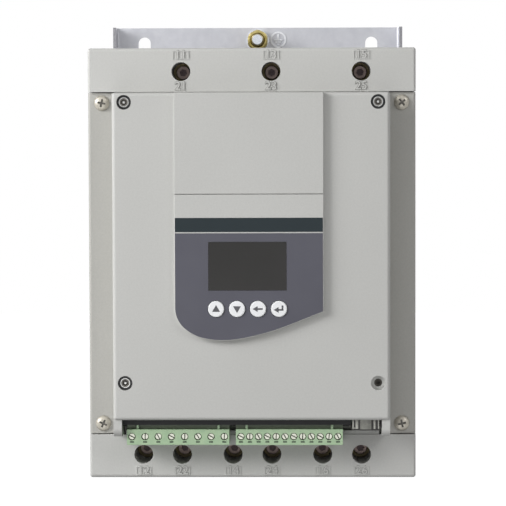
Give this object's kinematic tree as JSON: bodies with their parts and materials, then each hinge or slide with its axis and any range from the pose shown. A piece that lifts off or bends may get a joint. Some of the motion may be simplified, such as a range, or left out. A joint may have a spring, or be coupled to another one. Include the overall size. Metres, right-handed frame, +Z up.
{
  "type": "motor soft starter",
  "caption": "Wall-mounted, fan-cooled soft starter for three-phase motors, with a keypad and display panel, shrouded cable lugs and plug-in control terminals.",
  "frame": {"origin": "middle of the mounting plate's back face, which lies on the wall", "axes": "+X to the right seen from the front, +Y into the wall, +Z up; the panel faces -Y and every piece lies at Y <= 0"},
  "size_m": [0.19, 0.235, 0.29],
  "materials": {
    "plate_steel": "zinc-plated sheet",
    "brass": "plated",
    "screw_steel": "zinc-plated",
    "sink_aluminium": "extruded",
    "casing_plastic": "fine matt",
    "shroud_plastic": "fine matt",
    "cover_plastic": "fine matt",
    "panel_plastic": "fine matt",
    "panel_film": "satin",
    "panel_band": "satin",
    "display_window": "gloss",
    "key_plastic": "satin",
    "black_plastic": "matt",
    "module_plastic": "matt",
    "copper": "tinned copper edge",
    "lug_metal": "plated",
    "circuit_board": "lacquered",
    "green_plastic": "satin",
    "socket_shield": "tinned",
    "relay_plastic": "satin",
    "wire_steel": "nickel-plated",
    "core_steel": "lacquered laminations"
  },
  "bodies": {
    "starter": {"mounting_plate": "plate_steel", "earth_stud": "screw_steel", "earth_washer": "screw_steel", "earth_nut": "brass", "heat_sink": "sink_aluminium", "heat_sink_screws": "screw_steel", "rear_casing": "casing_plastic", "fan_frame_left": "black_plastic", "fan_frame_right": "black_plastic", "fan_guard_left": "wire_steel", "fan_guard_right": "wire_steel", "fan_screws": "screw_steel", "power_screws": "screw_steel", "thermal_switch": "wire_steel", "line_busbars": "copper", "output_busbars": "copper", "line_lugs": "lug_metal", "motor_lugs": "lug_metal", "bypass_lugs": "lug_metal", "lug_screws": "screw_steel", "line_carrier": "black_plastic", "motor_carrier": "black_plastic", "front_casing": "casing_plastic", "case_screws": "screw_steel", "line_shroud": "shroud_plastic", "motor_shroud": "shroud_plastic", "front_cover": "cover_plastic", "cover_screws": "screw_steel", "panel_bezel": "panel_plastic", "panel_film": "panel_film", "panel_band": "panel_band", "display_lens": "display_window", "display_module": "black_plastic", "panel_board": "circuit_board", "key_switches": "black_plastic", "board_spacers": "brass", "firing_board": "circuit_board", "pulse_transformers": "black_plastic", "control_board": "circuit_board", "relay_header": "green_plastic", "control_header": "green_plastic", "network_socket": "socket_shield", "output_relays": "relay_plastic", "supply_transformer": "core_steel", "thyristor_module_1": "module_plastic", "thyristor_module_2": "module_plastic", "thyristor_module_3": "module_plastic", "current_sensor_1": "relay_plastic", "current_sensor_2": "relay_plastic", "current_sensor_3": "relay_plastic"},
    "key_up": {"key_up": "key_plastic"},
    "key_down": {"key_down": "key_plastic"},
    "key_back": {"key_back": "key_plastic"},
    "key_enter": {"key_enter": "key_plastic"},
    "left_fan": {"fan_rotor_left": "black_plastic"},
    "right_fan": {"fan_rotor_right": "black_plastic"},
    "relay_connector": {"relay_plug": "green_plastic", "relay_plug_screws": "screw_steel"},
    "control_connector": {"control_plug": "green_plastic", "control_plug_screws": "screw_steel"}
  },
  "joints": [
    {"name": "key_up_press", "type": "slide", "parent": "starter", "child": "key_up", "axis": [0, 1, 0], "range_m": [0, 0.0006], "stiffness_N_per_m": 2000},
    {"name": "key_down_press", "type": "slide", "parent": "starter", "child": "key_down", "axis": [0, 1, 0], "range_m": [0, 0.0006], "stiffness_N_per_m": 2000},
    {"name": "key_back_press", "type": "slide", "parent": "starter", "child": "key_back", "axis": [0, 1, 0], "range_m": [0, 0.0006], "stiffness_N_per_m": 2000},
    {"name": "key_enter_press", "type": "slide", "parent": "starter", "child": "key_enter", "axis": [0, 1, 0], "range_m": [0, 0.0006], "stiffness_N_per_m": 2000},
    {"name": "left_fan_spin", "type": "hinge", "parent": "starter", "child": "left_fan", "pos_m": [-0.04, -0.0425, -0.1095], "axis": [0, 0, 1], "continuous": true},
    {"name": "right_fan_spin", "type": "hinge", "parent": "starter", "child": "right_fan", "pos_m": [0.04, -0.0425, -0.1095], "axis": [0, 0, 1], "continuous": true},
    {"name": "relay_connector_pull", "type": "slide", "parent": "starter", "child": "relay_connector", "axis": [0, 0, -1], "range_m": [0, 0.012]},
    {"name": "control_connector_pull", "type": "slide", "parent": "starter", "child": "control_connector", "axis": [0, 0, -1], "range_m": [0, 0.012]}
  ]
}
